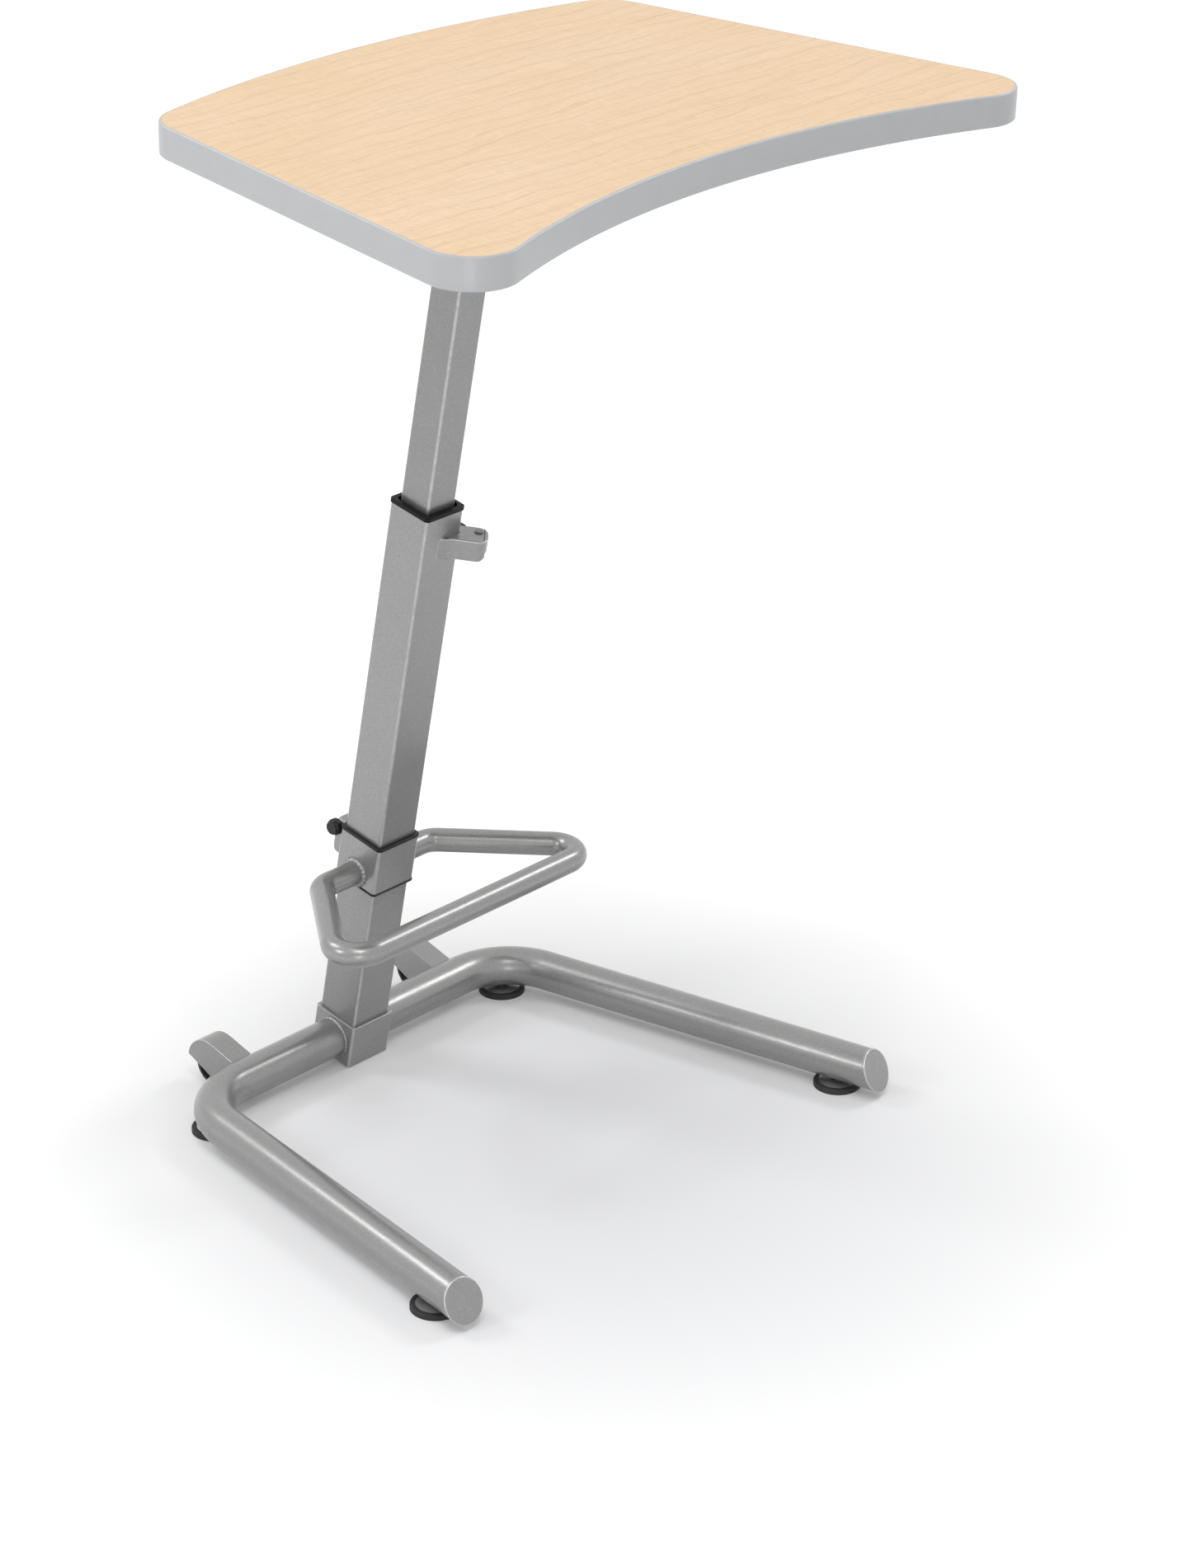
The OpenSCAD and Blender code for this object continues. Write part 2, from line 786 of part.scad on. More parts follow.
module top_board() {
    color(maple) on_top() difference() {
        translate([0, 0, backing_t - top_thick]) linear_extrude(top_thick - backing_t - laminate_t) top_outline();
        screw_places() cylinder(h = backing_t + screw_bite + over, d = screw_d + 2 * fit_gap);
    }
}

module top_laminate() {
    color(maple) on_top() translate([0, 0, -laminate_t]) linear_extrude(laminate_t) top_outline();
}

module backing_sheet() {
    color([0.30, 0.28, 0.26]) on_top() difference() {
        translate([0, 0, -top_thick]) linear_extrude(backing_t) top_outline();
        screw_places() cylinder(h = top_thick, d = screw_d + 2 * fit_gap, center = true);
    }
}

// Six screws through the plate; the child starts at the underside of the top
module screw_places() {
    rear = plate_y + plate_behind - screw_inset;
    front = plate_y - plate_ahead + screw_inset;
    for (x = [-1, 1], y = [rear, (rear + front) / 2, front]) {
        translate([x * (plate_w / 2 - screw_inset), y, -top_thick]) children();
    }
}

module top_plate() {
    color(grey_paint) on_top() difference() {
        translate([-plate_w / 2, plate_y - plate_ahead, -stack_t]) linear_extrude(plate_t)
            rounded_box_outline([plate_w, plate_ahead + plate_behind], plate_r);
        screw_places() cylinder(h = far, d = screw_d + 2 * fit_gap, center = true);
    }
}

module plate_screws() {
    head_r = screw_d;
    color(steel) on_top() screw_places() {
        translate([0, 0, -plate_t]) cylinder(h = plate_t + screw_bite, d = screw_d);
        translate([0, 0, -plate_t]) rotate([180, 0, 0]) rotate_extrude() {
            square([head_r, 1.2]);
            square([head_r - 0.9, 2.4]);
        }
    }
}

// Height latch on the front right corner of the outer tube

module ear_frame() {
    on_column() translate([0, 0, latch_low]) rotate([0, 0, -ear_turn]) children();
}

// Plan of the housing: x runs out along the diagonal of the column
module ear_plan() {
    root = outer_w / 4;
    translate([root, -ear_w / 2]) square([ear_reach - ear_r - root, ear_w]);
    translate([root, ear_r - ear_w / 2]) square([ear_reach - root, ear_w - 2 * ear_r]);
    for (y = [-1, 1]) {
        translate([ear_reach - ear_r, y * (ear_w / 2 - ear_r)]) circle(ear_r);
    }
}

// A place beside the column, in the plan of the housing
function ear_spot(x, y) = [
    x * cos(ear_turn) - y * sin(ear_turn),
    x * sin(ear_turn) + y * cos(ear_turn)
];

// Plan of the flared root, hollow between the side of the housing and the front of the outer tube
module ear_flare_plan() {
    front = -outer_w / 2;
    meet_x = (outer_w / 2 * cos(ear_turn) - ear_w / 2) / sin(ear_turn);
    meet = ear_spot(meet_x, front);
    out = meet + [1.3 * ear_flare, 0];
    along = ear_spot(meet_x - ear_flare, front);
    steps = 8;
    curve = [
        for (i = [0 : steps])
        let (t = i / steps)
        (1 - t) * (1 - t) * out + 2 * t * (1 - t) * meet + t * t * along
    ];
    polygon(concat(curve, [ear_spot(meet_x - ear_flare, front + 3), out + [0, 3]]));
}

// Side view of the housing: x runs out, y runs up
module ear_side_view() {
    top_r = 1.6;
    square([ear_reach - ear_under_r, ear_h]);
    translate([0, ear_under_r]) square([ear_reach, ear_h - ear_under_r - top_r]);
    square([ear_reach - top_r, ear_h]);
    translate([ear_reach - top_r, ear_h - top_r]) circle(top_r);
}

module ear_block() {
    intersection() {
        linear_extrude(ear_h) ear_plan();
        rotate([90, 0, 0]) translate([0, 0, -ear_w]) linear_extrude(2 * ear_w) difference() {
            ear_side_view();
            difference() {
                translate([ear_reach - ear_under_r, 0]) square(ear_under_r);
                translate([ear_reach - ear_under_r, ear_under_r]) circle(ear_under_r);
            }
        }
    }
}

module height_latch_housing() {
    slot_end = ear_reach - 3.3;
    color(grey_paint) difference() {
        ear_frame() difference() {
            union() {
                ear_block();
                linear_extrude(ear_h) ear_flare_plan();
            }
            translate([0, ear_side - ear_w / 2, ear_plate]) cube([slot_end, 2 * ear_w, slot_h]);
            translate([0, 7, ear_plate]) cube([far, 2 * ear_w, slot_h]);
        }
        on_column() translate([-outer_w / 2, -outer_w / 2, 0]) cube([outer_w, outer_w, far]);
        latch_pin_place() cylinder(h = far, d = latch_pin_d + 2 * fit_gap, center = true);
    }
}

module latch_pin_place() {
    on_column() translate([latch_pin.x, latch_pin.y, latch_mid]) children();
}

module height_latch_pin() {
    head_h = 1.4;
    color(steel) latch_pin_place() {
        cylinder(h = ear_h, d = latch_pin_d, center = true);
        for (z = [0, 180]) {
            rotate([z, 0, 0]) translate([0, 0, ear_h / 2]) rotate_extrude() {
                square([latch_pin_d * 0.75, head_h * 0.6]);
                square([latch_pin_d * 0.55, head_h]);
            }
        }
    }
}

module height_shoe_place() {
    translate([0, 0, latch_mid]) rotate([0, 90, 0]) children();
}

module height_brake_shoe() {
    start = inner_w / 2 + fit_gap;
    color(black_plastic) on_column() height_shoe_place() translate([0, 0, start])
        cylinder(h = lever_in - fit_gap - start, d = shoe_d);
}

// Front end of the handle, which keeps clear of the housing
function handle_front(x) = (ear_w / 2 + 0.7 - x * sin(ear_turn)) / cos(ear_turn);

// Plan of the handle, which runs along the side of the outer tube to the rear
module lever_handle_plan() {
    r = lever_t / 2;
    lever_out = lever_in + lever_t;
    polygon([
        [lever_in, handle_front(lever_in)], [lever_out, handle_front(lever_out)],
        [lever_out, lever_tail - r], [lever_in, lever_tail - r]
    ]);
    translate([lever_in + r, lever_tail - r]) circle(r);
}

// Plan of the arm from the pivot to the handle
module lever_arm_plan() {
    root_y = handle_front(lever_in) + 4;
    translate(latch_pin) circle(lever_eye_r);
    polygon([
        latch_pin - [lever_eye_r, 0], latch_pin + [lever_eye_r, 0],
        [lever_in + lever_t, root_y], [lever_in, root_y]
    ]);
}

module height_latch_lever() {
    arm_h = slot_h - 2 * slide_gap;
    color(black_plastic) on_column() difference() {
        union() {
            translate([0, 0, latch_low]) linear_extrude(ear_h) lever_handle_plan();
            translate([0, 0, latch_mid - arm_h / 2]) linear_extrude(arm_h) lever_arm_plan();
        }
        translate([latch_pin.x, latch_pin.y, 0]) cylinder(h = far, d = latch_pin_d + 2 * pin_gap);
    }
}

// Foot rest

module foot_collar() {
    color(grey_paint) on_column() difference() {
        square_sleeve(collar_w, collar_edge_r, collar_bore, collar_r - collar_wall, collar_low, collar_top);
        foot_shoe_place() cylinder(h = far, d = foot_shoe_d + 2 * pin_gap);
    }
}

module collar_bush(low, top, lip_low, lip_top) {
    bore = outer_w + 2 * slide_gap;
    r = outer_r + slide_gap;
    lip_w = collar_w + 1.6;
    color(black_plastic) on_column() difference() {
        union() {
            square_sleeve(collar_bore - 2 * fit_gap, collar_r - collar_wall, bore, r, low, top);
            square_sleeve(lip_w, collar_edge_r + 0.8, bore, r, lip_low, lip_top);
        }
        foot_shoe_place() cylinder(h = far, d = foot_shoe_d + 2 * pin_gap);
    }
}

module collar_bush_top() {
    lip_end = collar_top + collar_lip_top;
    collar_bush(collar_top - liner_len + over, lip_end, collar_top, lip_end);
}

module collar_bush_low() {
    lip_end = collar_low - collar_lip_low;
    collar_bush(lip_end, collar_low + liner_len, lip_end, collar_low);
}

module foot_loop() {
    front_y = foot_y - foot_reach;
    right = [[collar_w / 2, foot_y], [foot_corner_x, foot_y], [foot_half, front_y]];
    path = [
        right[0], right[1], right[2],
        flip(right[2]), flip(right[1]), flip(right[0])
    ];
    radii = [foot_rear_bend_r, foot_front_bend_r, foot_front_bend_r, foot_rear_bend_r];
    color(grey_paint) at_foot() translate([0, 0, foot_height]) bent_tube(path, radii, foot_d, foot_wall);
}

// Foot latch on the rear wall of the collar: x across, y up the column, extruded to the rear

module pad_outline(inset) {
    w = 2 * (pad_half - inset);
    h = pad_h - 2 * inset;
    low_r = pad_low_r - inset;
    top_r = pad_top_r - inset;
    translate([-w / 2, inset]) {
        translate([low_r, 0]) square([w - 2 * low_r, h - top_r]);
        translate([0, low_r]) square([w, h - low_r - top_r]);
        translate([top_r, h - 2 * top_r]) square([w - 2 * top_r, 2 * top_r]);
        for (x = [low_r, w - low_r]) {
            translate([x, low_r]) circle(low_r);
        }
        for (x = [top_r, w - top_r]) {
            translate([x, h - top_r]) circle(top_r);
        }
    }
}

module pad_layer(inset, from, to) {
    translate([0, pad_face + to, pad_low]) rotate([90, 0, 0]) linear_extrude(to - from) pad_outline(inset);
}

module foot_latch_housing() {
    slot = foot_lever_h + 2 * slide_gap;
    floor_y = pad_face + 2;
    step = 1.2;
    color(grey_paint) on_column() difference() {
        union() {
            pad_layer(0, 0, pad_depth - step);
            pad_layer(step, 0, pad_depth);
        }
        translate([-far, floor_y, lever_s - slot / 2]) cube([far + foot_pin_x + foot_eye_r + 2 * slide_gap, far, slot]);
        translate([-far, 0, collar_top - slide_gap]) cube([2 * far, pad_face + 1.2, far]);
        foot_shoe_place() cylinder(h = far, d = foot_shoe_d + 2 * pin_gap);
        foot_pin_place() cylinder(h = foot_pin_len(), d = foot_pin_d + 2 * fit_gap, center = true);
    }
}

function foot_pin_len() = foot_lever_h + 8;

module foot_pin_place() {
    translate([foot_pin_x, lever_y, lever_s]) children();
}

module foot_shoe_place() {
    translate([0, 0, lever_s]) rotate([-90, 0, 0]) children();
}

module foot_latch_pin() {
    color(steel) on_column() foot_pin_place() cylinder(h = foot_pin_len(), d = foot_pin_d, center = true);
}

module foot_latch_lever() {
    reach = foot_pin_x + pad_half + knob_grip;
    color(black_plastic) on_column() foot_pin_place() difference() {
        union() {
            cylinder(h = foot_lever_h, r = foot_eye_r, center = true);
            translate([-reach, -foot_lever_t / 2, -foot_lever_h / 2]) cube([reach, foot_lever_t, foot_lever_h]);
        }
        cylinder(h = far, d = foot_pin_d + 2 * pin_gap, center = true);
    }
}

module foot_latch_knob() {
    r = knob_d / 2;
    soft = 2;
    crown = 5;
    start = pad_half + slide_gap;
    color(black_plastic) on_column() difference() {
        translate([-start, lever_y, lever_s]) rotate([0, -90, 0]) rotate_extrude() {
            translate([0, soft]) square([r, knob_len - soft - crown]);
            square([r - soft, knob_len]);
            translate([r - soft, soft]) circle(soft);
            intersection() {
                translate([r - crown, knob_len - crown]) circle(crown);
                square([r, knob_len]);
            }
            square([r - crown, knob_len]);
        }
        translate([-pad_half - knob_grip - fit_gap, lever_y, lever_s])
            translate([0, -foot_lever_t / 2 - fit_gap, -foot_lever_h / 2 - fit_gap])
            cube([knob_grip + over, foot_lever_t + 2 * fit_gap, foot_lever_h + 2 * fit_gap]);
    }
}

module foot_brake_shoe() {
    start = outer_w / 2 + fit_gap;
    color(black_plastic) on_column() foot_shoe_place() translate([0, 0, start])
        cylinder(h = lever_y - foot_lever_t / 2 - fit_gap - start, d = foot_shoe_d);
}

base_socket();
base_leg_left();
base_leg_right();
leg_cap_left();
leg_cap_right();
wheel_hood_left();
wheel_hood_right();
wheel_axle_left();
wheel_axle_right();
wheel_left();
wheel_right();
glide_inserts();
glide_ring_rear_left();
glide_ring_rear_right();
glide_ring_front_left();
glide_ring_front_right();
glide_stem_rear_left();
glide_stem_rear_right();
glide_stem_front_left();
glide_stem_front_right();
outer_column();
column_bolts();
upper_bushing();
height_latch_housing();
height_latch_pin();
height_latch_lever();
height_brake_shoe();
inner_column();
lower_bushing();
top_plate();
plate_screws();
top_board();
top_laminate();
backing_sheet();
edge_band();
foot_collar();
collar_bush_top();
collar_bush_low();
foot_loop();
foot_latch_housing();
foot_latch_pin();
foot_latch_lever();
foot_latch_knob();
foot_brake_shoe();
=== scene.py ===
"""Sit or stand work table on one leaning column: its finishes, made parts and studio."""
import math

import bpy
from mathutils import Matrix, Vector


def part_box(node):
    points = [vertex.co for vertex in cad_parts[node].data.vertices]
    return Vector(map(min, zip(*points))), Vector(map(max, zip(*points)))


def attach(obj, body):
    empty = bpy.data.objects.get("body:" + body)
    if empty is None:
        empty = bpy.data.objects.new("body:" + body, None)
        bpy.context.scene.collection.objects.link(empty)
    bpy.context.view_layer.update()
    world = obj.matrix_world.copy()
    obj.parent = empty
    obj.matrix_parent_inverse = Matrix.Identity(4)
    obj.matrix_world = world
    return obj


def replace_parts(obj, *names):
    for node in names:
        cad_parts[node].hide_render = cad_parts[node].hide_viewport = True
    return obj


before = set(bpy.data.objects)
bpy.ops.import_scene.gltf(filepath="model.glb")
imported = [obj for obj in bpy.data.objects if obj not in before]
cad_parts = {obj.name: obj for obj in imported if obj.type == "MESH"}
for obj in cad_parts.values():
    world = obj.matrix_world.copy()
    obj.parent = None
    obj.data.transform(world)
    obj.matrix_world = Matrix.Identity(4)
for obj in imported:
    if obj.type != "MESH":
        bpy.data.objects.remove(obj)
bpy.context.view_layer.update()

bl_info = {
    "name": "Leaning column work table",
    "version": (1, 0, 0),
    "blender": (4, 5, 0),
    "location": "View3D > Sidebar > Work table",
    "description": "Finishes, weld beads, band and studio of a height adjustable work table",
    "category": "Object",
}

# The picture in pixels, the camera's sensor in mm, and its near and far limits
IMAGE_SIZE = (1445, 1901)
SENSOR = 36.0
CLIP = (0.05, 100.0)

# The column: its lean, and where its axis meets the floor
LEAN = math.radians(11.3)
COLUMN_FOOT = 0.243347

# Merging, rounding and shading of the copied solids
POINTS_APART = 1e-6
TUBE_POINTS_APART = 5e-5
EDGE_POINTS_APART = 0.0004
FLAT_WITHIN = math.radians(0.6)
ROUND_ABOVE = math.radians(38)
ROUND_STEPS = 3
SMOOTH_BELOW = math.radians(40)

# Finish of the faces, finish of the rounded edges, slot; on painted pieces the rounded edges take a
# lighter paint as a painted highlight
COAT_FINISH = ("silver_powder_coat", "painted_edge_highlight", "grey_paint")
BLACK_FINISH = ("black_moulding", "black_moulding", "black_plastic")
# The upper bush's lip takes a darker black than the other mouldings, as painted shade
LIP_FINISH = ("deep_black", "deep_black", "black_plastic")

# Solid, name of its rounded copy, body, radius, finish
ROUNDED = (
    ("wheel_hood_left", "left_hood_pressing", "frame", 0.0014, COAT_FINISH),
    ("wheel_hood_right", "right_hood_pressing", "frame", 0.0014, COAT_FINISH),
    ("height_latch_housing", "height_latch_casting", "frame", 0.0012, COAT_FINISH),
    ("base_socket", "column_socket", "frame", 0.0008, COAT_FINISH),
    ("foot_collar", "sliding_collar", "foot_rest", 0.0008, COAT_FINISH),
    ("leg_cap_left", "left_end_plate", "frame", 0.0009, COAT_FINISH),
    ("leg_cap_right", "right_end_plate", "frame", 0.0009, COAT_FINISH),
    ("foot_latch_housing", "foot_latch_casting", "foot_rest", 0.0010, COAT_FINISH),
    ("upper_bushing", "upper_bush", "frame", 0.0008, LIP_FINISH),
    ("collar_bush_top", "collar_upper_bush", "foot_rest", 0.0006, BLACK_FINISH),
    ("collar_bush_low", "collar_lower_bush", "foot_rest", 0.0006, BLACK_FINISH),
)
# Castings whose short edges would hold the rounding back
UNCLAMPED = ("height_latch_housing", "foot_latch_housing")

# Solid, name of its smooth copy, body
BENT = (
    ("base_leg_left", "left_leg_tube", "frame"),
    ("base_leg_right", "right_leg_tube", "frame"),
    ("foot_loop", "foot_rest_tube", "foot_rest"),
)

# Strength of the paint on the square pieces: lit and shaded copies of one paint, as painted light
# and shade, the inner column darkest as painted shade under the top; their corners carry a painted
# highlight
SQUARE_PAINTED_LIGHT = {"outer_column": 0.96, "inner_column": 0.86, "base_socket": 1.06, "foot_collar": 1.0}
COAT = {"Metallic": 0.6, "Coat_Weight": 0.2, "Coat_Roughness": 0.2}
COAT_RELIEF = (0.10, 0.0004)
# Lighter paint on the rounded edges of the painted castings: a painted highlight
PAINTED_EDGE_HIGHLIGHT = (0.55, 0.55, 0.55)
# Lighter paint along the column corners, a painted highlight, and the widths over which it fades
PAINTED_CORNER_HIGHLIGHT = (0.56, 0.56, 0.56)
CORNER_HIGHLIGHT_FADE = (0.0008, 0.0030)

# Solids that keep their own mesh
COLUMNS = ("outer_column", "inner_column")
MOULDED = (
    "lower_bushing", "height_latch_lever", "foot_latch_lever", "foot_latch_knob",
    "height_brake_shoe", "foot_brake_shoe", "glide_inserts",
)
RUBBER = (
    "wheel_left", "wheel_right",
    "glide_ring_rear_left", "glide_ring_rear_right",
    "glide_ring_front_left", "glide_ring_front_right",
)
PLATED = (
    "wheel_axle_left", "wheel_axle_right", "column_bolts", "plate_screws",
    "glide_stem_rear_left", "glide_stem_rear_right",
    "glide_stem_front_left", "glide_stem_front_right",
)
LATCH_PINS = ("height_latch_pin", "foot_latch_pin")

# Welds: ripples round each tube, their steps, and the smaller beads at the socket
SOCKET_RIPPLES = 34
COLLAR_RIPPLES = 20
RIPPLE_STEPS = 4
BEAD_STEPS = 10
SOCKET_BEAD = 0.6
SOCKET_RIPPLE = 0.3

# Floor: its size and colours, and where its glow starts and is full; the weaker glow near the desk
# leaves a painted shade round it
FLOOR_SIZE = 60.0
FLOOR_COLOUR = (0.84, 0.845, 0.86, 1.0)
FLOOR_ROUGHNESS = 0.9
GLOW_COLOUR = (1.0, 0.99, 0.96, 1.0)
GLOW_CENTRE = (0.0, -0.1, 0.0)
GLOW_START, GLOW_FULL = 0.1, 1.1

# Lamp, kind, place, size (angle of a sun, else metres), power; all look at one point
LAMPS = (
    ("key_sky", "SUN", (-0.7, -0.9, 4.6), math.radians(34), 0.50),
    ("high_softbox", "AREA", (-1.24, -1.29, 2.73), 0.8, 12.0),
    ("front_softbox", "AREA", (-1.64, -1.55, 0.5), 0.6, 4.0),
    ("left_softbox", "AREA", (-2.3, 0.8, 1.6), 0.6, 9.0),
    ("right_softbox", "AREA", (2.27, -0.68, 2.65), 0.8, 18.0),
    ("rear_softbox", "AREA", (-1.0, 2.2, 2.55), 0.8, 18.0),
)
LAMP_AIM = (0.0, 0.0, 0.55)


class DeskSizes(bpy.types.PropertyGroup):
    """Sizes of the parts that are made here."""
    bead: bpy.props.FloatProperty(
        name="Weld bead", description="Half thickness of a weld bead",
        default=0.0036, min=0.001, max=0.005, unit="LENGTH")
    ripple: bpy.props.FloatProperty(
        name="Weld ripple", description="Rise of the ripples along a weld bead",
        default=0.0011, min=0.0, max=0.002, unit="LENGTH")
    flake: bpy.props.FloatProperty(
        name="Flake", description="Size of the metal flakes in the paint",
        default=0.0011, min=0.0002, max=0.004, unit="LENGTH")


class DeskColours(bpy.types.PropertyGroup):
    """Colours of the finishes."""
    paint: bpy.props.FloatVectorProperty(
        name="Paint", description="Silver powder coat of the frame", subtype="COLOR",
        size=3, min=0.0, max=1.0, default=(0.315, 0.312, 0.310))
    maple_light: bpy.props.FloatVectorProperty(
        name="Maple, light", description="Pale wood of the laminate", subtype="COLOR",
        size=3, min=0.0, max=1.0, default=(0.925, 0.705, 0.490))
    maple_dark: bpy.props.FloatVectorProperty(
        name="Maple, dark", description="Darker grain of the laminate", subtype="COLOR",
        size=3, min=0.0, max=1.0, default=(0.64, 0.42, 0.235))
    maple_warm: bpy.props.FloatVectorProperty(
        name="Maple, warm", description="Yellower wood of the broad drift", subtype="COLOR",
        size=3, min=0.0, max=1.0, default=(0.905, 0.675, 0.435))
    band: bpy.props.FloatVectorProperty(
        name="Edge band", description="Grey plastic round the top", subtype="COLOR",
        size=3, min=0.0, max=1.0, default=(0.520, 0.530, 0.542))
    moulding: bpy.props.FloatVectorProperty(
        name="Mouldings", description="Black plastic bushes, levers and knob", subtype="COLOR",
        size=3, min=0.0, max=1.0, default=(0.008, 0.008, 0.0085))
    rubber: bpy.props.FloatVectorProperty(
        name="Rubber", description="Wheels and feet", subtype="COLOR",
        size=3, min=0.0, max=1.0, default=(0.022, 0.022, 0.022))


class DeskStudio(bpy.types.PropertyGroup):
    """Camera and light of the picture."""
    heading: bpy.props.FloatProperty(
        name="Heading", description="Turn of the view from straight ahead",
        default=math.radians(47.399), subtype="ANGLE", unit="ROTATION")
    pitch: bpy.props.FloatProperty(
        name="Pitch", description="Tilt of the view below level",
        default=math.radians(24.889), subtype="ANGLE", unit="ROTATION")
    roll: bpy.props.FloatProperty(
        name="Roll", description="Turn of the picture about the line of sight",
        default=math.radians(0.226), subtype="ANGLE", unit="ROTATION")
    place: bpy.props.FloatVectorProperty(
        name="Camera", description="Place of the camera", subtype="TRANSLATION",
        size=3, unit="LENGTH", default=(-2.63602, -2.534343, 2.08348))
    focal: bpy.props.FloatProperty(
        name="Focal length", description="Focal length in pixels of the full picture",
        default=4985.6, min=100.0)
    ambient: bpy.props.FloatProperty(
        name="Ambient", description="Even light from all sides", default=0.44, min=0.0)
    floor_glow: bpy.props.FloatProperty(
        name="Floor glow", description="Lift of the floor towards white by the desk",
        default=0.04, min=0.0, max=1.0)
    backdrop_glow: bpy.props.FloatProperty(
        name="Backdrop glow", description="Lift of the floor towards white far from the desk",
        default=0.52, min=0.0, max=1.0)


# Selection and pieces


def nothing_selected():
    """Leave edit mode and deselect every object."""
    if bpy.context.object and bpy.context.object.mode != "OBJECT":
        bpy.ops.object.mode_set(mode="OBJECT")
    bpy.ops.object.select_all(action="DESELECT")


def only_selected(piece):
    """Make one object the only selected and active one."""
    nothing_selected()
    piece.select_set(True)
    bpy.context.view_layer.objects.active = piece


def settle(piece, name, body, look):
    """Name a made piece, put its place into its mesh, and give it its body and finish."""
    only_selected(piece)
    bpy.ops.object.transform_apply(location=True, rotation=True, scale=True)
    bpy.ops.object.shade_smooth_by_angle(angle=SMOOTH_BELOW)
    piece.name = name
    piece.data.name = name
    piece.data.materials.clear()
    piece.data.materials.append(look)
    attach(piece, body)
    return piece


def merged_copy(node, apart=POINTS_APART):
    """A copy of a solid's mesh with its loose triangles joined."""
    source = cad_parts[node]
    piece = bpy.data.objects.new(node + "_made", source.data.copy())
    bpy.context.scene.collection.objects.link(piece)
    only_selected(piece)
    bpy.ops.object.mode_set(mode="EDIT")
    bpy.ops.mesh.select_all(action="SELECT")
    bpy.ops.mesh.customdata_custom_splitnormals_clear()
    bpy.ops.mesh.remove_doubles(threshold=apart)
    bpy.ops.mesh.mark_sharp(clear=True)
    bpy.ops.object.mode_set(mode="OBJECT")
    return piece


def softened(node, name, body, radius, looks):
    """A copy of a solid that stands for it, its sharp edges rounded and finished apart; on painted
    pieces that edge finish is a painted highlight.
    """
    face, rim, slot = looks
    # Square pieces take their own lit or shaded copy of the paint, painted light and shade
    if node in SQUARE_PAINTED_LIGHT:
        face = "painted_light_coat_of_" + node
    piece = merged_copy(node, EDGE_POINTS_APART)
    bpy.ops.object.mode_set(mode="EDIT")
    bpy.ops.mesh.select_all(action="SELECT")
    bpy.ops.mesh.dissolve_limited(angle_limit=FLAT_WITHIN)
    bpy.ops.object.mode_set(mode="OBJECT")
    settle(piece, name, body, finish(face))
    piece.data.materials.append(finish(rim))
    rounding = piece.modifiers.new("Rounding", "BEVEL")
    # The rounded edges take the second finish, a painted highlight on painted pieces
    rounding.material = 1
    rounding.width = radius
    rounding.segments = ROUND_STEPS
    rounding.limit_method = "ANGLE"
    rounding.angle_limit = ROUND_ABOVE
    rounding.miter_outer = "MITER_ARC"
    rounding.use_clamp_overlap = node not in UNCLAMPED
    bpy.ops.object.modifier_apply(modifier=rounding.name)
    bpy.ops.object.shade_smooth_by_angle(angle=SMOOTH_BELOW)
    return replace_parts(piece, node)


def sizes():
    return bpy.context.scene.desk_sizes


def colours():
    return bpy.context.scene.desk_colours


def studio():
    return bpy.context.scene.desk_studio


# Shader building


def add(tree, kind, **settings):
    """Add a node; a setting named as a socket is its value, any other is a property."""
    made = tree.nodes.new(kind)
    for key, value in settings.items():
        if hasattr(made, key):
            setattr(made, key, value)
        else:
            made.inputs[key.replace("_", " ")].default_value = value
    return made


def link(tree, source, target):
    tree.links.new(source, target)


def combine(tree, operation, first, second):
    """One value from two."""
    made = add(tree, "ShaderNodeMath", operation=operation)
    link(tree, first, made.inputs[0])
    link(tree, second, made.inputs[1])
    return made.outputs[0]


def new_effect(name, inputs, outputs):
    """An empty shader group with its named sockets; returns the tree and its two ends."""
    group = bpy.data.node_groups.new(name, "ShaderNodeTree")
    for label, kind, value in inputs:
        socket = group.interface.new_socket(label, in_out="INPUT", socket_type="NodeSocket" + kind)
        if value is not None:
            socket.default_value = value
    for label, kind in outputs:
        group.interface.new_socket(label, in_out="OUTPUT", socket_type="NodeSocket" + kind)
    return group, group.nodes.new("NodeGroupInput"), group.nodes.new("NodeGroupOutput")


def ramp(tree, source, low, high, low_out=0.0, high_out=1.0):
    """Map a value from one span to another, held at the ends."""
    made = add(tree, "ShaderNodeMapRange", clamp=True)
    ends = {"From Min": low, "From Max": high, "To Min": low_out, "To Max": high_out}
    for key, value in ends.items():
        made.inputs[key].default_value = value
    link(tree, source, made.inputs["Value"])
    return made.outputs["Result"]


def blend(tree, factor, first, second, mode="MIX"):
    """Mix two colours; each end is a socket or a colour."""
    made = add(tree, "ShaderNodeMix", data_type="RGBA", blend_type=mode)
    ends = [s for s in made.inputs if s.type == "RGBA"]
    for end, value in zip(ends, (first, second)):
        if isinstance(value, bpy.types.NodeSocket):
            link(tree, value, end)
        else:
            end.default_value = (*value, 1.0)[:4]
    if isinstance(factor, bpy.types.NodeSocket):
        link(tree, factor, made.inputs[0])
    else:
        made.inputs[0].default_value = factor
    return next(s for s in made.outputs if s.type == "RGBA")


def noise(tree, vector, scale, detail=3.0, rough=0.55, stretch=None):
    """Noise at so many features to the metre; stretch scales its axes."""
    if stretch:
        mapping = add(tree, "ShaderNodeMapping")
        mapping.inputs["Scale"].default_value = stretch
        link(tree, vector, mapping.inputs["Vector"])
        vector = mapping.outputs["Vector"]
    made = add(tree, "ShaderNodeTexNoise")
    made.inputs["Scale"].default_value = scale
    made.inputs["Detail"].default_value = detail
    made.inputs["Roughness"].default_value = rough
    link(tree, vector, made.inputs["Vector"])
    return made.outputs["Fac"]


